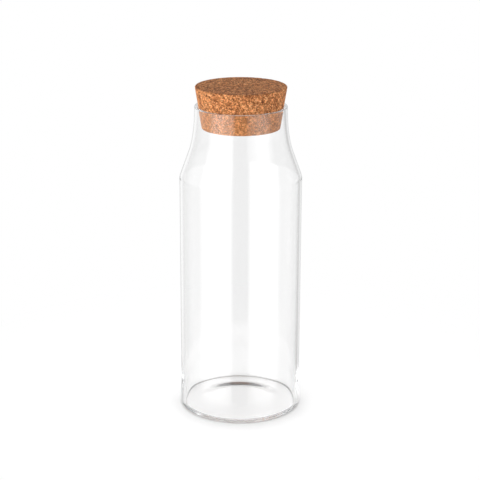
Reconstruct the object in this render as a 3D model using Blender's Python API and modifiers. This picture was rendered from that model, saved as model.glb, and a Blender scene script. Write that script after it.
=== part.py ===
"""Clear glass bottle with a tapered cork stopper.

The bottle is one piece of glass: a straight tube for a body, a low cone for a shoulder that runs in a
hollow curve up to the mouth, a flat-topped lip, and a base that rests on a flat ring round its hollow
underside.
The stopper is one tapered cork that is pushed about half its height into the mouth.

Units are metres, +Z is up, and the origin is the centre of the ring that the bottle stands on.
"""

import math

import bpy
from mathutils import Vector, geometry

# Glass body, from the ring it stands on up to the sharp corner between tube and cone
BODY_RADIUS = 0.0425
BODY_HEIGHT = 0.1685
BODY_WALL = 0.0020

# Base: outer heel, the slight swelling above it and the heights between which it fades, flat standing
# ring, hollow underside and its soft step down to the ring, and the level floor inside with its round corner
HEEL_ROUND = 0.0025
HEEL_SWELL = 0.00045
SWELL_LOW = 0.0040
SWELL_HIGH = 0.0300
RING_WIDTH = 0.0080
HOLLOW_RISE = 0.0008
STEP_WIDTH = 0.0150
FLOOR_HEIGHT = 0.0017
INNER_CORNER_ROUND = 0.0020

# Shoulder cone, and the hollow throat curve that joins it to the lip
SHOULDER_ROUND = 0.0060
CONE_HEIGHT = 0.0175
THROAT_RADIUS = 0.0362
THROAT_HEIGHT = 0.0320
THROAT_LOW_REACH = 0.0060
THROAT_HIGH_REACH = 0.0150

# Lip: outer radius, thickness, height of its upright sides, and the rounds at its level top
LIP_RADIUS = 0.0320
LIP_WALL = 0.0024
LIP_HEIGHT = 0.0012
LIP_EDGE_ROUND = 0.0005

# Cork: full height, how far it goes in below the top of the lip, its slope from upright, its worn edges,
# and the clearance between cork and lip
CORK_HEIGHT = 0.0288
CORK_INSERTION = 0.0150
CORK_TAPER = math.radians(9.5)
CORK_EDGE_ROUND = 0.0008
SEAT_GAP = 0.0003

# Fineness of the turned surfaces
TURN_STEPS = 64
HOLLOW_STEPS = 6
ROUND_STEPS = 5
SWELL_STEPS = 3
SHOULDER_STEPS = 3
THROAT_STEPS = 8
EDGE_STEPS = 2
MERGE_DISTANCE = 0.00001

# Places that follow from the sizes
CONE_TOP = BODY_HEIGHT + CONE_HEIGHT
LIP_TOP = CONE_TOP + THROAT_HEIGHT
LIP_FOOT = LIP_TOP - LIP_HEIGHT
MOUTH_RADIUS = LIP_RADIUS - LIP_WALL
MOUTH_EDGE = Vector((MOUTH_RADIUS + LIP_EDGE_ROUND, LIP_TOP - LIP_EDGE_ROUND))
CONE_SLOPE = math.atan2(BODY_RADIUS - THROAT_RADIUS, CONE_HEIGHT)
INNER_RADIUS = BODY_RADIUS - BODY_WALL
CORK_BOTTOM = LIP_TOP - CORK_INSERTION


def clear_scene():
    for old in list(bpy.data.objects):
        bpy.data.objects.remove(old, do_unlink=True)


def arc(centre, radius, start, end, steps):
    """Points on an arc in the profile plane; angles in degrees from outward (+X) towards up (+Z)."""
    points = []
    for step in range(steps + 1):
        angle = math.radians(start + (end - start) * step / steps)
        points.append(centre + radius * Vector((math.cos(angle), math.sin(angle))))
    return points


def hollow(ring_radius):
    """Points of the hollow underside: level from the middle out to the step, then down to the ring."""
    points = [Vector((0, HOLLOW_RISE))]
    for step in range(HOLLOW_STEPS + 1):
        share = step / HOLLOW_STEPS
        radius = ring_radius - STEP_WIDTH * (1 - share)
        points.append(Vector((radius, HOLLOW_RISE * (1 + math.cos(math.pi * share)) / 2)))
    return points


def swell():
    """Points where the swelling above the heel fades into the straight tube."""
    points = []
    for step in range(SWELL_STEPS + 1):
        share = step / SWELL_STEPS
        radius = BODY_RADIUS + HEEL_SWELL * (1 + math.cos(math.pi * share)) / 2
        points.append(Vector((radius, SWELL_LOW + (SWELL_HIGH - SWELL_LOW) * share)))
    return points


def neck():
    """Points of the outer neck, from the shoulder round up to the foot of the lip."""
    slope_length = SHOULDER_ROUND * math.tan(CONE_SLOPE / 2)
    shoulder_centre = Vector((BODY_RADIUS - SHOULDER_ROUND, BODY_HEIGHT - slope_length))
    points = arc(shoulder_centre, SHOULDER_ROUND, 0, math.degrees(CONE_SLOPE), SHOULDER_STEPS)

    cone_top = Vector((THROAT_RADIUS, CONE_TOP))
    low_handle = cone_top + THROAT_LOW_REACH * Vector((-math.sin(CONE_SLOPE), math.cos(CONE_SLOPE)))
    lip_foot = Vector((LIP_RADIUS, LIP_FOOT))
    high_handle = lip_foot - Vector((0, THROAT_HIGH_REACH))
    throat = geometry.interpolate_bezier(cone_top, low_handle, high_handle, lip_foot, THROAT_STEPS + 1)
    return points + [point.to_2d() for point in throat]


def wall_at(height):
    """Thickness of the neck's wall: the tube's on the cone, thickening up the throat to the lip's."""
    share = min(max((height - CONE_TOP) / (LIP_FOOT - CONE_TOP), 0), 1)
    return BODY_WALL + (LIP_WALL - BODY_WALL) * share


def inner_side(points):
    """The inner side of a wall whose outer side is given from bottom to top."""
    moved = []
    for index, point in enumerate(points):
        below = points[max(index - 1, 0)]
        above = points[min(index + 1, len(points) - 1)]
        along = (above - below).normalized()
        moved.append(point + wall_at(point.y) * Vector((-along.y, along.x)))
    moved[0].x = INNER_RADIUS
    moved[-1] = Vector((MOUTH_RADIUS, LIP_FOOT))
    return moved


def bottle_profile():
    """Half section of the glass: up the inside, over the lip, down the outside and back to the axis."""
    corner_centre = Vector((INNER_RADIUS - INNER_CORNER_ROUND, FLOOR_HEIGHT + INNER_CORNER_ROUND))
    corner = arc(corner_centre, INNER_CORNER_ROUND, -90, 0, ROUND_STEPS)
    outer_neck = neck()
    inside = [Vector((0, FLOOR_HEIGHT))] + corner + inner_side(outer_neck)

    outer_edge = Vector((LIP_RADIUS - LIP_EDGE_ROUND, MOUTH_EDGE.y))
    lip = arc(MOUTH_EDGE, LIP_EDGE_ROUND, 180, 90, EDGE_STEPS)
    lip += arc(outer_edge, LIP_EDGE_ROUND, 90, 0, EDGE_STEPS)

    heel_radius = BODY_RADIUS + HEEL_SWELL
    heel_centre = Vector((heel_radius - HEEL_ROUND, HEEL_ROUND))
    heel = arc(heel_centre, HEEL_ROUND, -90, 0, ROUND_STEPS)
    outside = hollow(heel_centre.x - RING_WIDTH) + heel + swell() + outer_neck
    outside.reverse()
    return inside + lip + outside


def cork_radius(height):
    """Radius of the cork's cone at a height, set so that the cone clears the lip's edge by SEAT_GAP."""
    reach = (LIP_EDGE_ROUND + SEAT_GAP) / math.cos(CORK_TAPER)
    return MOUTH_EDGE.x - reach + (height - MOUTH_EDGE.y) * math.tan(CORK_TAPER)


def cork_profile():
    """Half section of the cork, from the middle of its top to the middle of its bottom, base at zero."""
    taper = math.degrees(CORK_TAPER)
    top_radius = cork_radius(CORK_BOTTOM + CORK_HEIGHT)
    bottom_radius = cork_radius(CORK_BOTTOM)
    top_inset = CORK_EDGE_ROUND * math.tan(math.radians(90 + taper) / 2)
    bottom_inset = CORK_EDGE_ROUND * math.tan(math.radians(90 - taper) / 2)
    top_centre = Vector((top_radius - top_inset, CORK_HEIGHT - CORK_EDGE_ROUND))
    bottom_centre = Vector((bottom_radius - bottom_inset, CORK_EDGE_ROUND))
    points = [Vector((0, CORK_HEIGHT))]
    points += arc(top_centre, CORK_EDGE_ROUND, 90, -taper, EDGE_STEPS)
    points += arc(bottom_centre, CORK_EDGE_ROUND, -taper, -90, EDGE_STEPS)
    points.append(Vector((0, 0)))
    return points


def turned(name, profile, material, collection):
    """A solid turned about Z from a half section whose outer side runs from top to bottom."""
    mesh = bpy.data.meshes.new(name)
    corners = [(point.x, 0, point.y) for point in profile]
    edges = [(index, index + 1) for index in range(len(corners) - 1)]
    mesh.from_pydata(corners, edges, [])
    mesh.materials.append(material)
    solid = bpy.data.objects.new(name, mesh)
    collection.objects.link(solid)
    turn = solid.modifiers.new("turn", "SCREW")
    turn.axis = "Z"
    turn.steps = TURN_STEPS
    turn.render_steps = TURN_STEPS
    turn.use_merge_vertices = True
    turn.merge_threshold = MERGE_DISTANCE
    turn.use_smooth_shade = True
    return solid


def clear_glass():
    material = bpy.data.materials.new("clear_glass")
    material.use_nodes = True
    shader = material.node_tree.nodes["Principled BSDF"]
    shader.inputs["Base Color"].default_value = (0.93, 0.96, 0.95, 1)
    shader.inputs["Metallic"].default_value = 0
    shader.inputs["Roughness"].default_value = 0.02
    shader.inputs["IOR"].default_value = 1.47
    shader.inputs["Transmission Weight"].default_value = 1
    return material


def pressed_cork():
    material = bpy.data.materials.new("pressed_cork")
    material.use_nodes = True
    shader = material.node_tree.nodes["Principled BSDF"]
    shader.inputs["Base Color"].default_value = (0.42, 0.24, 0.12, 1)
    shader.inputs["Metallic"].default_value = 0
    shader.inputs["Roughness"].default_value = 0.85
    return material


def build():
    clear_scene()
    collection = bpy.data.collections.new("glass_bottle_with_cork")
    bpy.context.scene.collection.children.link(collection)

    turned("glass_bottle", bottle_profile(), clear_glass(), collection)

    lift_axis = bpy.data.objects.new("stopper_lift_axis", None)
    lift_axis.location = (0, 0, CORK_BOTTOM)
    collection.objects.link(lift_axis)
    cork = turned("cork_stopper", cork_profile(), pressed_cork(), collection)
    cork.parent = lift_axis


build()
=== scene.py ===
# %% [markdown]
# # A clear glass bottle with a cork stopper
#
# This lesson dresses a plain model of a table bottle until it looks like the real one. The bottle is one
# piece of clear glass with a thin wall. The stopper is one tapered piece of pressed cork. Glass shows
# hardly anything of itself: what the eye sees is the white room behind it, bent at the edges, and the
# lamps round it, mirrored in its four surfaces. So half of this lesson is about the room.

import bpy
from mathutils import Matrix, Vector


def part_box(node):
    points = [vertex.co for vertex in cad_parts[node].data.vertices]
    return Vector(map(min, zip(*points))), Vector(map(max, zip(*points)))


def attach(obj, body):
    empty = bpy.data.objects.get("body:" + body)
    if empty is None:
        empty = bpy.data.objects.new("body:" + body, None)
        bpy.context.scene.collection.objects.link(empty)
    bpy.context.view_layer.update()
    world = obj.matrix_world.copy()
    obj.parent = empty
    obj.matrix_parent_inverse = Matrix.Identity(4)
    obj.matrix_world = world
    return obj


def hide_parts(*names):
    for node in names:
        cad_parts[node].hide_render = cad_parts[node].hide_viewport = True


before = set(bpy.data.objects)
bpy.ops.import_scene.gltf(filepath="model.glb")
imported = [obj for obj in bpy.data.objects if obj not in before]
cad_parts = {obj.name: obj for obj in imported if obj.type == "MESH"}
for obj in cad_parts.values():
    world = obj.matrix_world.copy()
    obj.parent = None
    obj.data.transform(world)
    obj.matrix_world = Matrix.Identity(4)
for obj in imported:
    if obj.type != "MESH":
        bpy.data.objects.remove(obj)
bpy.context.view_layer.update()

# %% Blender's own modules, and the sizes that the frame gives
import math

import bmesh
import bpy
import numpy as np
from mathutils import Matrix, Vector, geometry, noise

MM = 0.001
glass_low, glass_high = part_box("glass_bottle")
cork_low, cork_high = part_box("cork_stopper")
LIP_TOP = glass_high.z
HEEL_RADIUS = glass_high.x
CORK_BOTTOM = cork_low.z
CORK_HEIGHT = cork_high.z - cork_low.z
print(f"lip at {LIP_TOP / MM:.1f} mm, heel radius {HEEL_RADIUS / MM:.1f} mm")
print(f"cork from {CORK_BOTTOM / MM:.1f} mm, {CORK_HEIGHT / MM:.1f} mm high")

# %% [markdown]
# ## The camera
#
# The photograph looks down on the bottle from a little under a metre away: the mouth is a flat oval and
# the base a rounder one. The distance, height and lens below were worked out from those two ovals.

# %% Camera
CAMERA_PLACE = (-0.0004, -0.9566, 0.4262)
CAMERA_PITCH = math.radians(17.66)
CAMERA_ROLL = math.radians(0.19)
LENS = 106.95

camera_data = bpy.data.cameras.new("camera")
camera_data.lens = LENS
camera_data.clip_start = 0.02
camera = bpy.data.objects.new("camera", camera_data)
bpy.context.scene.collection.objects.link(camera)
looking_down = Matrix.Rotation(math.radians(90) - CAMERA_PITCH, 4, "X")
camera.matrix_world = Matrix.Translation(CAMERA_PLACE) @ looking_down @ Matrix.Rotation(CAMERA_ROLL, 4, "Z")
bpy.context.scene.camera = camera
print(f"camera looks down by {math.degrees(CAMERA_PITCH):.1f} degrees")

# %% [markdown]
# ## The glass: its half section
#
# A flame-worked bottle starts as a straight tube. Its end is melted shut for the base, which swells the
# heel a little, and the other end is drawn in for the neck and its cut edge ground level. One half
# section holds all of this: up the inside, over the lip, down the outside. Turned once round the axis
# it makes a single closed skin, which is what clear glass needs: light has to know at each surface
# whether it goes in or comes out.

# %% Sizes of the glass, in metres
HEEL_SWELL = 0.45 * MM
SWELL_LOW, SWELL_HIGH = 4 * MM, 30 * MM
HEEL_ROUND = 2.5 * MM
RING_WIDTH = 8 * MM
HOLLOW_RISE = 0.8 * MM
STEP_WIDTH = 15 * MM
FLOOR_HEIGHT = 1.7 * MM
INNER_CORNER_ROUND = 2 * MM
BODY_RADIUS = HEEL_RADIUS - HEEL_SWELL
BODY_WALL = 2 * MM
TUBE_HEIGHTS = (35 * MM, 70 * MM, 105 * MM, 140 * MM, 160 * MM)
INNER_RADIUS = BODY_RADIUS - BODY_WALL
SHOULDER_ROUND = 6 * MM
THROAT_HEIGHT = 32 * MM
CONE_HEIGHT = 17.5 * MM
THROAT_RADIUS = 36.2 * MM
THROAT_LOW_REACH = 6 * MM
THROAT_HIGH_REACH = 15 * MM
LIP_RADIUS = 32 * MM
LIP_WALL = 2.4 * MM
LIP_EDGE_ROUND = 0.5 * MM
LIP_HEIGHT = 1.2 * MM
LIP_FOOT = LIP_TOP - LIP_HEIGHT
MOUTH_RADIUS = LIP_RADIUS - LIP_WALL
MOUTH_EDGE = Vector((MOUTH_RADIUS + LIP_EDGE_ROUND, LIP_TOP - LIP_EDGE_ROUND))
CONE_TOP = LIP_TOP - THROAT_HEIGHT
BODY_HEIGHT = CONE_TOP - CONE_HEIGHT
CONE_SLOPE = math.atan2(BODY_RADIUS - THROAT_RADIUS, CONE_HEIGHT)
print(f"shoulder at {BODY_HEIGHT / MM:.1f} mm, cone leans {math.degrees(CONE_SLOPE):.1f} degrees")


# %% Rounds, hollow and swelling as short rows of points: distance from the axis, and height
def arc(centre, radius, start, end, steps):
    """Points on an arc; angles in degrees from outward towards up."""
    angles = [math.radians(start + (end - start) * step / steps) for step in range(steps + 1)]
    return [centre + radius * Vector((math.cos(angle), math.sin(angle))) for angle in angles]


def hollow(ring_radius, steps=30):
    """Points of the hollow underside: level from the middle out to the step, then down to the ring."""
    points = [Vector((0, HOLLOW_RISE))]
    for step in range(steps + 1):
        share = step / steps
        height = HOLLOW_RISE * (1 + math.cos(math.pi * share)) / 2
        points.append(Vector((ring_radius - STEP_WIDTH * (1 - share), height)))
    return points


def swell(steps=24):
    """Points where the swelling above the heel fades into the straight tube."""
    points = []
    for step in range(steps + 1):
        share = step / steps
        radius = BODY_RADIUS + HEEL_SWELL * (1 + math.cos(math.pi * share)) / 2
        points.append(Vector((radius, SWELL_LOW + (SWELL_HIGH - SWELL_LOW) * share)))
    return points


print("a quarter round has", len(arc(Vector((0, 0)), 1, 0, 90, 12)), "points")


# %% The neck's outer line: shoulder round, cone, and the hollow throat as one smooth curve
def outer_neck():
    drop = SHOULDER_ROUND * math.tan(CONE_SLOPE / 2)
    shoulder_centre = Vector((BODY_RADIUS - SHOULDER_ROUND, BODY_HEIGHT - drop))
    shoulder = arc(shoulder_centre, SHOULDER_ROUND, 0, math.degrees(CONE_SLOPE), 8)
    cone_top = Vector((THROAT_RADIUS, CONE_TOP))
    low_handle = cone_top + THROAT_LOW_REACH * Vector((-math.sin(CONE_SLOPE), math.cos(CONE_SLOPE)))
    lip_foot = Vector((LIP_RADIUS, LIP_FOOT))
    high_handle = lip_foot - Vector((0, THROAT_HIGH_REACH))
    throat = geometry.interpolate_bezier(cone_top, low_handle, high_handle, lip_foot, 33)
    cone = [shoulder[-1].lerp(cone_top, share) for share in (0.25, 0.5, 0.75)]
    return shoulder + cone + [point.to_2d() for point in throat]


def inner_neck(outer):
    """The neck's inner line: the outer one moved in by the wall, which thickens towards the lip."""
    moved = []
    for index, point in enumerate(outer):
        along = outer[min(index + 1, len(outer) - 1)] - outer[max(index - 1, 0)]
        share = min(max((point.y - CONE_TOP) / (LIP_FOOT - CONE_TOP), 0), 1)
        wall = BODY_WALL + (LIP_WALL - BODY_WALL) * share
        moved.append(point + wall * Vector((-along.y, along.x)).normalized())
    moved[0].x = INNER_RADIUS
    moved[-1] = Vector((MOUTH_RADIUS, LIP_FOOT))
    return moved


def tube(radius):
    """Points along the straight tube, so that no long face bends its shading from end to end."""
    return [Vector((radius, height)) for height in TUBE_HEIGHTS]


neck_line = outer_neck()
print(f"neck line: {len(neck_line)} points, {neck_line[0].y / MM:.1f} to {neck_line[-1].y / MM:.1f} mm up")


# %% The whole half section of the glass
def glass_section():
    corner_centre = Vector((INNER_RADIUS - INNER_CORNER_ROUND, FLOOR_HEIGHT + INNER_CORNER_ROUND))
    corner = arc(corner_centre, INNER_CORNER_ROUND, -90, 0, 16)
    inside = [Vector((0, FLOOR_HEIGHT))] + corner + tube(INNER_RADIUS) + inner_neck(neck_line)
    outer_edge = Vector((LIP_RADIUS - LIP_EDGE_ROUND, MOUTH_EDGE.y))
    lip = arc(MOUTH_EDGE, LIP_EDGE_ROUND, 180, 90, 8) + arc(outer_edge, LIP_EDGE_ROUND, 90, 0, 8)
    heel_centre = Vector((HEEL_RADIUS - HEEL_ROUND, HEEL_ROUND))
    heel = arc(heel_centre, HEEL_ROUND, -90, 0, 16)
    outside = hollow(heel_centre.x - RING_WIDTH) + heel + swell() + tube(BODY_RADIUS) + neck_line
    return inside + lip + outside[::-1]


section = glass_section()
print("half section of the glass:", len(section), "points")

# %% [markdown]
# ## Turning the section
#
# The section is a chain of vertices and edges in a bmesh, and the spin operator sweeps it once round the
# axis. A full turn lays its last copy on its first, so the spin merges them, and the two points on the
# axis, which every copy shares, are merged as well. After that the normals are worked out afresh, all
# outwards, because a spin can leave a shape inside out.

# %% A helper that turns a section into a closed mesh
MERGE_DISTANCE = 0.001 * MM


def turned_mesh(name, points, turns):
    bm = bmesh.new()
    chain = [bm.verts.new((point.x, 0, point.y)) for point in points]
    edges = [bm.edges.new(pair) for pair in zip(chain, chain[1:])]
    bmesh.ops.spin(bm, geom=chain + edges, cent=(0, 0, 0), axis=(0, 0, 1), dvec=(0, 0, 0),
                   angle=math.tau, steps=turns, use_merge=True)
    bmesh.ops.remove_doubles(bm, verts=bm.verts, dist=MERGE_DISTANCE)
    bmesh.ops.recalc_face_normals(bm, faces=bm.faces)
    mesh = bpy.data.meshes.new(name)
    bm.to_mesh(mesh)
    loose = sum(not edge.is_manifold for edge in bm.edges)
    print(f"{name}: {len(bm.faces)} faces, {loose} open edges, {bm.calc_volume() * 1e6:.1f} cm3")
    bm.free()
    return mesh


def add_piece(name, mesh, body, node):
    """Puts a finished mesh in the scene, moving with its body and standing for its plain node."""
    mesh.shade_smooth()
    piece = bpy.data.objects.new(name, mesh)
    bpy.context.scene.collection.objects.link(piece)
    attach(piece, body)
    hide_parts(node)
    return piece


# %% The bottle's glass
GLASS_TURNS = 384
glass_mesh = turned_mesh("bottle_glass", section, GLASS_TURNS)

# %% [markdown]
# ## The glass: its material
#
# Clear borosilicate bends light a little less than window glass, and it is tinted so faintly that only
# the long way through a rim or an edge shows it. The tint therefore goes in the volume, as absorption
# for each metre travelled, and not on the surface. A faint bump adds the slight unevenness of drawn tube.


# %% Helpers for materials: a fresh one, its coordinates, noise and bumps
def new_material(name):
    material = bpy.data.materials.new(name)
    material.use_nodes = True
    return material, material.node_tree.nodes, material.node_tree.links


def noise_node(nodes, links, vector, scale, detail=3.0, roughness=0.5):
    texture = nodes.new("ShaderNodeTexNoise")
    texture.inputs["Scale"].default_value = scale
    texture.inputs["Detail"].default_value = detail
    texture.inputs["Roughness"].default_value = roughness
    links.new(vector, texture.inputs["Vector"])
    return texture


def object_coordinates(nodes, links, stretch=(1, 1, 1)):
    place = nodes.new("ShaderNodeTexCoord")
    mapping = nodes.new("ShaderNodeMapping")
    mapping.inputs["Scale"].default_value = stretch
    links.new(place.outputs["Object"], mapping.inputs["Vector"])
    return mapping.outputs["Vector"]


def bump_node(nodes, links, height, strength, distance, before=None):
    bump = nodes.new("ShaderNodeBump")
    bump.inputs["Strength"].default_value = strength
    bump.inputs["Distance"].default_value = distance
    links.new(height, bump.inputs["Height"])
    if before is not None:
        links.new(before, bump.inputs["Normal"])
    return bump.outputs["Normal"]


print("ready: new_material, noise_node, object_coordinates, bump_node")

# %% Clear glass
GLASS_IOR = 1.474
GLASS_TINT = (0.50, 0.55, 0.60)
GLASS_ABSORPTION = 1.2
DRAWN_STRETCH = (1, 1, 0.12)
DRAWN_SCALE = 120
DRAWN_STRENGTH = 0.05
DRAWN_DEPTH = 0.02 * MM


def clear_glass():
    material, nodes, links = new_material("clear_glass")
    shader = nodes["Principled BSDF"]
    shader.inputs["Base Color"].default_value = (1, 1, 1, 1)
    shader.inputs["Roughness"].default_value = 0.0
    shader.inputs["IOR"].default_value = GLASS_IOR
    shader.inputs["Transmission Weight"].default_value = 1.0
    place = object_coordinates(nodes, links, DRAWN_STRETCH)
    drawn = noise_node(nodes, links, place, DRAWN_SCALE, 1)
    normal = bump_node(nodes, links, drawn.outputs["Fac"], DRAWN_STRENGTH, DRAWN_DEPTH)
    links.new(normal, shader.inputs["Normal"])
    tint = nodes.new("ShaderNodeVolumeAbsorption")
    tint.inputs["Color"].default_value = (*GLASS_TINT, 1)
    tint.inputs["Density"].default_value = GLASS_ABSORPTION
    links.new(tint.outputs["Volume"], nodes["Material Output"].inputs["Volume"])
    return material


glass_mesh.materials.append(clear_glass())
bottle = add_piece("bottle_glass", glass_mesh, "bottle", "glass_bottle")
print(bottle.name, "bends light by", GLASS_IOR)

# %% [markdown]
# Light that gets into the wall at the lip or the heel is caught between its two sides, and bounces a
# hundred times on its way along the bottle before it comes out at the other end. This is what makes the
# lip and the edges light. Cycles gives up on a path after four mirror bounces and paints it black, so it
# is allowed more here. It also blurs the glass for light that comes off a matt surface, which would keep
# half of the light from the cork behind the glass, so this is turned off.

# %% Bounces that glass needs
cycles = bpy.context.scene.cycles
cycles.max_bounces = cycles.glossy_bounces = cycles.transmission_bounces = 128
cycles.blur_glossy = 0
print("bounces allowed:", cycles.max_bounces)

# %% [markdown]
# ## The cork: its shape
#
# Pressed cork is ground bark, glued and squeezed into a block, then turned and sanded to a cone. So its
# surface is a cut through grains: flat on the whole, with a fine groove between neighbours, some grains
# standing a little lower than others, and holes where a grain was torn out. The cone is turned from a
# section with enough points for this, and each point is then lowered by a rule that knows the grains.
# Blender's noise vectors start from a new random place in each session, so the seed is set first, which
# makes the same cork every time.

# %% Section of the cork
CORK_TAPER = math.radians(9.5)
SEAT_GAP = 0.3 * MM
CORK_EDGE = 0.8 * MM
CORK_STEP = 0.45 * MM
CORK_TURNS = 400


def cork_radius(height):
    """Radius of the cone, which clears the lip's inner edge by the gap at its nearest."""
    reach = (LIP_EDGE_ROUND + SEAT_GAP) / math.cos(CORK_TAPER)
    return MOUTH_EDGE.x - reach + (height - MOUTH_EDGE.y) * math.tan(CORK_TAPER)


def row(start, end):
    """Points from start to end, both included, about one cork step apart."""
    steps = max(1, round((end - start).length / CORK_STEP))
    return [start.lerp(end, step / steps) for step in range(steps + 1)]


def cork_section():
    taper = math.degrees(CORK_TAPER)
    top, bottom = CORK_BOTTOM + CORK_HEIGHT, CORK_BOTTOM
    top_inset = CORK_EDGE * math.tan(math.radians(90 + taper) / 2)
    bottom_inset = CORK_EDGE * math.tan(math.radians(90 - taper) / 2)
    top_edge = arc(Vector((cork_radius(top) - top_inset, top - CORK_EDGE)), CORK_EDGE, 90, -taper, 5)
    foot = Vector((cork_radius(bottom) - bottom_inset, bottom + CORK_EDGE))
    bottom_edge = arc(foot, CORK_EDGE, -taper, -90, 5)
    points = row(Vector((0, top)), top_edge[0])[:-1] + top_edge
    points += row(top_edge[-1], bottom_edge[0])[1:-1] + bottom_edge
    return points + row(bottom_edge[-1], Vector((0, bottom)))[1:]


cork_points = cork_section()
cork_mesh = turned_mesh("cork", cork_points, CORK_TURNS)

# %% Grain relief
GRAIN = 1.0 * MM
GROOVE_WIDTH = 0.13
GROOVE_DEPTH = 0.05 * MM
GRAIN_STEP = 0.04 * MM
WARP_SIZE = 3 * MM
WARP_SHARE = 0.35
SEED_SPREAD = 17.3
SEED_SHIFT = Vector((5.1, 2.7, 9.4))
TORN_SHARE = 0.04
TORN_DEPTH = 0.3 * MM
TORN_GRIT = 0.7 * MM
GRAIN_SEED = 1
noise.seed_set(GRAIN_SEED)


def grain_at(place):
    """Tone of the grain that a place is in, from 0 to 1, and how near the place is to its border."""
    warp = noise.noise_vector(place / WARP_SIZE) * WARP_SHARE
    near, seeds = noise.voronoi(place / GRAIN + warp)
    tone = 0.5 + 0.5 * noise.cell(seeds[0] * SEED_SPREAD + SEED_SHIFT)
    border = 1 - min((near[1] - near[0]) / GROOVE_WIDTH, 1)
    return tone, border


def lowering(place, tone, border):
    """How far the surface lies below the turned cone at a place, in metres."""
    depth = GROOVE_DEPTH * border + GRAIN_STEP * (1 - tone)
    if tone < TORN_SHARE:
        depth += TORN_DEPTH * (1 - border) * (0.6 + 0.4 * noise.noise(place / TORN_GRIT))
    return depth


def points_of(mesh, name):
    """The places or normals of a mesh's points as rows of three numbers."""
    values = np.zeros(len(mesh.vertices) * 3)
    source = mesh.vertices if name == "co" else mesh.vertex_normals
    source.foreach_get(name, values)
    return values.reshape(-1, 3)


places = points_of(cork_mesh, "co")
outward = points_of(cork_mesh, "vector")
tones, borders, depths = np.zeros((3, len(places)))
for index, place in enumerate(map(Vector, places)):
    tones[index], borders[index] = grain_at(place)
    depths[index] = lowering(place, tones[index], borders[index])
cork_mesh.vertices.foreach_set("co", (places - outward * depths[:, None]).ravel())
for name, values in (("grain_tone", tones), ("grain_border", borders)):
    attribute = cork_mesh.attributes.new(name, "FLOAT", "POINT")
    attribute.data.foreach_set("value", values)
print(f"grains of {GRAIN / MM:.1f} mm, torn ones up to {TORN_DEPTH / MM:.1f} mm deep")

# %% [markdown]
# ## The cork: its material
#
# The grains' tones and borders were kept on the mesh, so that the colour follows the relief: each grain
# has its own brown, dark in the grooves. Finer patterns on top break every grain up into smaller flakes
# and scatter the dark specks of bark that pressed cork always has. The part that sits in the mouth is
# painted a little paler, as painted light for the light that the glass keeps off it, and the mouth has
# pressed its grains to a more even tone.


# %% Helpers that turn a value into a fade or a colour, and mix colours
def fade_node(nodes, links, value, start, end):
    """0 up to start, 1 from end on, and a smooth rise between them."""
    node = nodes.new("ShaderNodeMapRange")
    node.interpolation_type = "SMOOTHSTEP"
    node.inputs["From Min"].default_value = start
    node.inputs["From Max"].default_value = end
    links.new(value, node.inputs["Value"])
    return node.outputs["Result"]


def ramp_node(nodes, links, value, stops):
    ramp = nodes.new("ShaderNodeValToRGB")
    ramp.color_ramp.elements[0].position = stops[0][0]
    ramp.color_ramp.elements[0].color = (*stops[0][1], 1)
    ramp.color_ramp.elements[1].position = stops[-1][0]
    ramp.color_ramp.elements[1].color = (*stops[-1][1], 1)
    for position, colour in stops[1:-1]:
        ramp.color_ramp.elements.new(position).color = (*colour, 1)
    links.new(value, ramp.inputs["Fac"])
    return ramp.outputs["Color"]


def mix_node(nodes, links, kind, factor, first, second):
    mix = nodes.new("ShaderNodeMix")
    mix.data_type = "RGBA"
    mix.blend_type = kind
    for socket, value in ((mix.inputs[0], factor), (mix.inputs[6], first), (mix.inputs[7], second)):
        if isinstance(value, (float, tuple)):
            socket.default_value = value
        else:
            links.new(value, socket)
    return mix.outputs[2]


def attribute_node(nodes, name):
    attribute = nodes.new("ShaderNodeAttribute")
    attribute.attribute_name = name
    return attribute.outputs["Fac"]


def math_node(nodes, links, operation, *values):
    node = nodes.new("ShaderNodeMath")
    node.operation = operation
    for socket, value in zip(node.inputs, values):
        if isinstance(value, (int, float)):
            socket.default_value = value
        else:
            links.new(value, socket)
    return node.outputs[0]


print("ready: fade_node, ramp_node, mix_node, attribute_node, math_node")

# %% Tones of pressed cork, and how fine each of its patterns is
CORK_TONES = (
    (0.00, (0.20, 0.062, 0.021)),
    (0.15, (0.44, 0.160, 0.054)),
    (0.50, (0.70, 0.282, 0.101)),
    (0.80, (0.85, 0.378, 0.148)),
    (1.00, (0.97, 0.540, 0.255)),
)
FLAKE_SCALE = 1500
FLAKE_TONES = ((0.0, (0.20, 0.15, 0.12)), (1.0, (1.76, 1.76, 1.76)))
GROOVE_SHARE = 0.5
GROOVE_TONES = ((0.0, (1, 1, 1)), (1.0, (0.66, 0.56, 0.48)))
PATCH_SCALE = 265
PATCH_TONES = ((0.36, (0.76, 0.70, 0.66)), (0.50, (0.98, 0.98, 0.98)), (0.64, (1.12, 1.14, 1.12)))
SPECK_SCALE = 900
SPECK_TONES = ((0.30, (0.22, 0.13, 0.08)), (0.40, (1, 1, 1)))
print("cork has", len(CORK_TONES), "tones, and patches in", len(PATCH_TONES))

# %% Painted light on the cork in the mouth, the mouth's even pressing, the cork's sheen, and its finest roughness
MOUTH_START, MOUTH_END = LIP_TOP - 2 * MM, LIP_TOP + 1 * MM
# Painted light: below the lip the cork is made paler, standing in for the light that the glass keeps off it.
PAINTED_LIGHT_IN_MOUTH = ((0.0, (1.09, 1.12, 1.14)), (1.0, (1, 1, 1)))
PRESSED_TONE = (0.66, 0.285, 0.108)
PRESSED_SHARE = 0.38
CORK_ROUGHNESS = 0.8
CORK_SHEEN = 0.35
GRIT_SCALE = 2600
GRIT_STRENGTH, GRIT_DEPTH = 0.5, 0.12 * MM
FLAKE_STRENGTH, FLAKE_DEPTH = 0.35, 0.15 * MM
print(f"cork turns paler between {MOUTH_END / MM:.1f} and {MOUTH_START / MM:.1f} mm up")


# %% Pressed cork
def toned(nodes, links, colour, value, tones, share=1.0):
    """The colour times the tone that a value picks from a row of tones."""
    return mix_node(nodes, links, "MULTIPLY", share, colour, ramp_node(nodes, links, value, tones))


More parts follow.
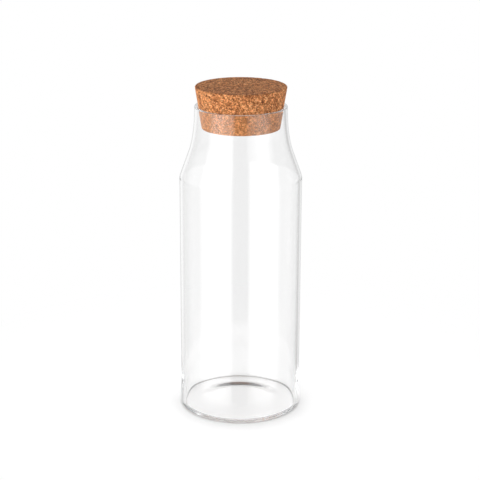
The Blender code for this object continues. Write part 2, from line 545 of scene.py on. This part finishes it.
def pressed_cork():
    material, nodes, links = new_material("pressed_cork")
    shader = nodes["Principled BSDF"]
    place = object_coordinates(nodes, links)
    flakes = nodes.new("ShaderNodeTexVoronoi")
    flakes.inputs["Scale"].default_value = FLAKE_SCALE
    links.new(place, flakes.inputs["Vector"])
    patches = noise_node(nodes, links, place, PATCH_SCALE, 2, 0.6)
    specks = noise_node(nodes, links, place, SPECK_SCALE, 2, 0.6)
    height = nodes.new("ShaderNodeSeparateXYZ")
    links.new(place, height.inputs[0])
    above_mouth = fade_node(nodes, links, height.outputs["Z"], MOUTH_START, MOUTH_END)

    colour = ramp_node(nodes, links, attribute_node(nodes, "grain_tone"), CORK_TONES)
    colour = toned(nodes, links, colour, flakes.outputs["Color"], FLAKE_TONES)
    colour = toned(nodes, links, colour, attribute_node(nodes, "grain_border"), GROOVE_TONES, GROOVE_SHARE)
    colour = toned(nodes, links, colour, patches.outputs["Fac"], PATCH_TONES)
    colour = toned(nodes, links, colour, specks.outputs["Fac"], SPECK_TONES)
    # Painted light: paler below the lip, where the glass keeps light off the cork. The same fade evens the
    # tone there.
    colour = toned(nodes, links, colour, above_mouth, PAINTED_LIGHT_IN_MOUTH)
    pressed = math_node(nodes, links, "MULTIPLY_ADD", above_mouth, -PRESSED_SHARE, PRESSED_SHARE)
    colour = mix_node(nodes, links, "MIX", pressed, colour, (*PRESSED_TONE, 1))
    links.new(colour, shader.inputs["Base Color"])

    shader.inputs["Roughness"].default_value = CORK_ROUGHNESS
    shader.inputs["Specular IOR Level"].default_value = CORK_SHEEN
    grit = noise_node(nodes, links, place, GRIT_SCALE, 4, 0.65)
    fine = bump_node(nodes, links, grit.outputs["Fac"], GRIT_STRENGTH, GRIT_DEPTH)
    normal = bump_node(nodes, links, flakes.outputs["Distance"], FLAKE_STRENGTH, FLAKE_DEPTH, fine)
    links.new(normal, shader.inputs["Normal"])
    return material


cork_mesh.materials.append(pressed_cork())
cork = add_piece("cork", cork_mesh, "stopper", "cork_stopper")
print(cork.name, "is dressed in", cork.data.materials[0].name)

# %% [markdown]
# ## The room
#
# The photograph was taken in a white room with a bright soft lamp on the left, a weaker one on the right,
# and the dark space round the camera between them. The camera sees plain white behind the bottle. The
# glass mirrors the lamps as two broad light zones, and the dark space as a faint grey band down its
# middle. The darker far edge of the table shows as the thin outline at the glass's sides. So the world
# has two answers: white for what is seen directly or straight through the glass, and the room with its
# lamps for what is mirrored and for what lights the pieces.


# %% What the camera sees directly or straight through the glass
def straight_sight(nodes, links):
    """1 for what the camera sees directly or straight through glass, 0 for reflections and lighting."""
    path = nodes.new("ShaderNodeLightPath")
    bounces = math_node(nodes, links, "ADD", path.outputs["Glossy Depth"], path.outputs["Diffuse Depth"])
    unbent = math_node(nodes, links, "LESS_THAN", bounces, 0.5)
    direct, through = path.outputs["Is Camera Ray"], path.outputs["Is Transmission Ray"]
    return math_node(nodes, links, "MULTIPLY", math_node(nodes, links, "MAXIMUM", direct, through), unbent)


print("ready: straight_sight")

# %% What stands round the room: angle from the camera's side in degrees, right positive, and brightness
BRIGHTEST = 3.2
WHITE_WALL = 1.0
LEFT_WALL = 0.75
RIGHT_WALL = 0.57
DARK_GAP = 0.05
LEFT_LAMP = 2.8
LEFT_EDGE = 1.8
RIGHT_LAMP = 1.9
RIGHT_EDGE = 0.9
ROUND_THE_ROOM = (
    (-180, WHITE_WALL), (-155, WHITE_WALL), (-130, LEFT_WALL), (-86, LEFT_WALL),
    (-68, LEFT_LAMP), (-50, LEFT_LAMP), (-22, LEFT_EDGE), (-14, DARK_GAP),
    (12, DARK_GAP), (20, RIGHT_EDGE), (44, RIGHT_LAMP), (64, RIGHT_LAMP),
    (84, RIGHT_WALL), (145, RIGHT_WALL), (165, WHITE_WALL), (180, WHITE_WALL),
)
print("the room has", len(ROUND_THE_ROOM), "brightness stops")

# %% [markdown]
# Three things change with height. Steep directions, up to the ceiling and down to the table, are dimmer.
# The left lamp is brighter above the horizon. Below it, opposite the camera, lies the darker far edge of
# the table. A height here is the upward part of a direction of length 1, so 0 is level and 1 straight up.

# %% How the room changes with height
CEILING_START, CEILING_END = 0.30, 0.80
CEILING_SHARE = 0.12
LAMP_START, LAMP_END = 0.0, 0.20
LAMP_RISE = 0.5
LEFT_START, LEFT_END = 0.2, 0.7
FAR_SHARE = 0.62
FAR_START, FAR_END = math.radians(163), math.radians(169)
DOWN_START, DOWN_END = 0.0, 0.10
print(f"straight up, the room keeps {CEILING_SHARE:.0%} of its brightness")


# %% The world
def build_world():
    world = bpy.data.worlds.new("studio")
    bpy.context.scene.world = world
    world.use_nodes = True
    nodes, links = world.node_tree.nodes, world.node_tree.links
    split = nodes.new("ShaderNodeSeparateXYZ")
    links.new(nodes.new("ShaderNodeTexCoord").outputs["Generated"], split.inputs[0])
    forward = math_node(nodes, links, "MULTIPLY", split.outputs["Y"], -1)
    turn = math_node(nodes, links, "ARCTAN2", split.outputs["X"], forward)
    share = math_node(nodes, links, "MULTIPLY_ADD", turn, 1 / math.tau, 0.5)
    stops = [(angle / 360 + 0.5, (level / BRIGHTEST,) * 3) for angle, level in ROUND_THE_ROOM]
    level = math_node(nodes, links, "MULTIPLY", ramp_node(nodes, links, share, stops), BRIGHTEST)
    steepness = math_node(nodes, links, "ABSOLUTE", split.outputs["Z"])
    up = fade_node(nodes, links, steepness, CEILING_START, CEILING_END)
    dimmed = math_node(nodes, links, "MULTIPLY_ADD", up, CEILING_SHARE - 1, 1)
    lamp = fade_node(nodes, links, split.outputs["Z"], LAMP_START, LAMP_END)
    leftward = math_node(nodes, links, "MULTIPLY", split.outputs["X"], -1)
    leftness = fade_node(nodes, links, leftward, LEFT_START, LEFT_END)
    left_lamp = math_node(nodes, links, "MULTIPLY", lamp, leftness)
    raised = math_node(nodes, links, "MULTIPLY_ADD", left_lamp, LAMP_RISE, 1)
    far = fade_node(nodes, links, math_node(nodes, links, "ABSOLUTE", turn), FAR_START, FAR_END)
    downward = math_node(nodes, links, "MULTIPLY", split.outputs["Z"], -1)
    low = fade_node(nodes, links, downward, DOWN_START, DOWN_END)
    far_edge = math_node(nodes, links, "MULTIPLY", far, low)
    shaded = math_node(nodes, links, "MULTIPLY_ADD", far_edge, FAR_SHARE - 1, 1)
    room = level
    for factor in (dimmed, raised, shaded):
        room = math_node(nodes, links, "MULTIPLY", room, factor)
    choice = nodes.new("ShaderNodeMix")
    links.new(straight_sight(nodes, links), choice.inputs[0])
    links.new(room, choice.inputs[2])
    choice.inputs[3].default_value = WHITE_WALL
    background = nodes["Background"]
    background.inputs["Color"].default_value = (1, 1, 1, 1)
    links.new(choice.outputs[0], background.inputs["Strength"])
    return world


world = build_world()
print(world.name, "has", len(world.node_tree.nodes), "nodes")

# %% [markdown]
# ## The floor
#
# The bottle stands on a pale board that is hardly told from the background: only the soft shadow round
# the base shows that it is there. The board takes light like any matt surface, and glows just enough on
# top of that to reach the background's white where nothing shades it. A painted shadow is laid into that
# glow: it glows a little less under the bottle and round the ring, deepest a little towards the front, and
# least in a thin painted contact shadow right round the ring. A little further out the glow is raised
# slightly. The pieces get no more light from it than from plain pale card.
# Reflections meet the board only close to the bottle, because the real board was small and the room
# shows beyond its edge.

# %% Sizes and brightness of the floor
FLOOR_RADIUS = 0.9
FLOOR_DROP = 0.1 * MM
FLOOR_MATT = 0.45
FLOOR_CARD = 0.80
FLOOR_LEVEL = 1.0
PAINTED_SHADE_CENTRE = (0.5 * MM, -4 * MM, 0)
STOPS_END = 80 * MM
# Painted shade: how far the floor's glow is lowered, or slightly raised further out, by distance from the
# shade centre.
PAINTED_SHADE_STOPS = (
    (0, -0.05), (34 * MM, -0.05), (39 * MM, -0.09), (41.5 * MM, -0.16), (43.5 * MM, -0.10), (46 * MM, -0.06),
    (51 * MM, 0.005), (60 * MM, 0.03), (STOPS_END, 0.03),
)
# Painted contact shadow: a thin line round the ring where the glow is lowered.
PAINTED_CONTACT_SHADE = 0.42
PAINTED_CONTACT_STOPS = ((0, 0), (39.5 * MM, 0), (40.3 * MM, 1), (41.6 * MM, 1), (43.9 * MM, 0), (STOPS_END, 0))
FADE_START, FADE_END = 0.08, 0.25
BOARD_START, BOARD_END = 0.055, 0.085
print(f"the board's reflection ends {BOARD_END / MM:.0f} mm from the axis")


# %% How much light the open floor takes
def open_light():
    """Light on the open floor, as a share of what it would get under a plain white sky."""

    def smooth(value, start, end):
        share = np.clip((value - start) / (end - start), 0, 1)
        return share * share * (3 - 2 * share)

    angles, levels = zip(*ROUND_THE_ROOM)
    turn, height = np.meshgrid(np.linspace(-180, 180, 1441), np.linspace(0, 1, 401))
    level = np.interp(turn, angles, levels)
    dimmed = 1 + (CEILING_SHARE - 1) * smooth(height, CEILING_START, CEILING_END)
    leftness = smooth(-np.sin(np.radians(turn)) * np.sqrt(1 - height * height), LEFT_START, LEFT_END)
    raised = 1 + LAMP_RISE * smooth(height, LAMP_START, LAMP_END) * leftness
    return float((2 * height * level * dimmed * raised).mean())


FLOOR_GLOW = FLOOR_LEVEL - FLOOR_MATT * open_light()
CARD_GLOW = (FLOOR_CARD - FLOOR_MATT) * open_light()
print(f"open floor takes {open_light():.2f} of white light and glows by {FLOOR_GLOW:.2f}")


# %% The floor's material
def distance_node(nodes, links, place, centre):
    """How far a place is from a centre on the floor."""
    away = nodes.new("ShaderNodeVectorMath")
    away.operation = "DISTANCE"
    links.new(place, away.inputs[0])
    away.inputs[1].default_value = centre
    return away.outputs["Value"]


def pale_floor():
    material, nodes, links = new_material("pale_floor")
    nodes.remove(nodes["Principled BSDF"])
    matt = nodes.new("ShaderNodeBsdfDiffuse")
    matt.inputs["Color"].default_value = (FLOOR_MATT, FLOOR_MATT, FLOOR_MATT, 1)
    glow = nodes.new("ShaderNodeEmission")
    place = nodes.new("ShaderNodeTexCoord").outputs["Object"]
    distance = distance_node(nodes, links, place, (0, 0, 0))
    from_shade = distance_node(nodes, links, place, PAINTED_SHADE_CENTRE)
    # Painted shade: the glow that camera and reflections see is lowered round and under the bottle, and
    # deepest round the ring.
    stops = [(reach / STOPS_END, (FLOOR_GLOW + extra,) * 3) for reach, extra in PAINTED_SHADE_STOPS]
    soft = ramp_node(nodes, links, math_node(nodes, links, "DIVIDE", from_shade, STOPS_END), stops)
    stops = [(reach / STOPS_END, (share,) * 3) for reach, share in PAINTED_CONTACT_STOPS]
    contact = ramp_node(nodes, links, math_node(nodes, links, "DIVIDE", distance, STOPS_END), stops)
    seen = math_node(nodes, links, "MULTIPLY_ADD", contact, -PAINTED_CONTACT_SHADE, soft)
    path = nodes.new("ShaderNodeLightPath")
    lighting = math_node(nodes, links, "GREATER_THAN", path.outputs["Diffuse Depth"], 0.5)
    strength = nodes.new("ShaderNodeMix")
    links.new(lighting, strength.inputs[0])
    links.new(seen, strength.inputs[2])
    strength.inputs[3].default_value = CARD_GLOW
    links.new(strength.outputs[0], glow.inputs["Strength"])
    lit = nodes.new("ShaderNodeAddShader")
    links.new(matt.outputs[0], lit.inputs[0])
    links.new(glow.outputs[0], lit.inputs[1])

    white = nodes.new("ShaderNodeEmission")
    faded = nodes.new("ShaderNodeMixShader")
    far = fade_node(nodes, links, distance, FADE_START, FADE_END)
    links.new(math_node(nodes, links, "MULTIPLY", far, straight_sight(nodes, links)), faded.inputs[0])
    links.new(lit.outputs[0], faded.inputs[1])
    links.new(white.outputs[0], faded.inputs[2])

    mirrored = math_node(nodes, links, "GREATER_THAN", path.outputs["Glossy Depth"], 0.5)
    beyond = fade_node(nodes, links, distance, BOARD_START, BOARD_END)
    away = nodes.new("ShaderNodeMixShader")
    links.new(math_node(nodes, links, "MULTIPLY", mirrored, beyond), away.inputs[0])
    links.new(faded.outputs[0], away.inputs[1])
    links.new(nodes.new("ShaderNodeBsdfTransparent").outputs[0], away.inputs[2])
    links.new(away.outputs[0], nodes["Material Output"].inputs["Surface"])
    return material


floor_material = pale_floor()
print(floor_material.name, "has", len(floor_material.node_tree.nodes), "nodes")

# %% The floor
bm = bmesh.new()
bmesh.ops.create_circle(bm, cap_ends=True, cap_tris=False, segments=96, radius=FLOOR_RADIUS,
                        matrix=Matrix.Translation((0, 0, -FLOOR_DROP)))
floor_mesh = bpy.data.meshes.new("floor")
bm.to_mesh(floor_mesh)
bm.free()
floor_mesh.materials.append(floor_material)
floor = bpy.data.objects.new("floor", floor_mesh)
bpy.context.scene.collection.objects.link(floor)
print(f"floor of {2 * FLOOR_RADIUS:.1f} m across")

# %% Plain view settings, and the end
bpy.context.scene.view_settings.view_transform = "Standard"
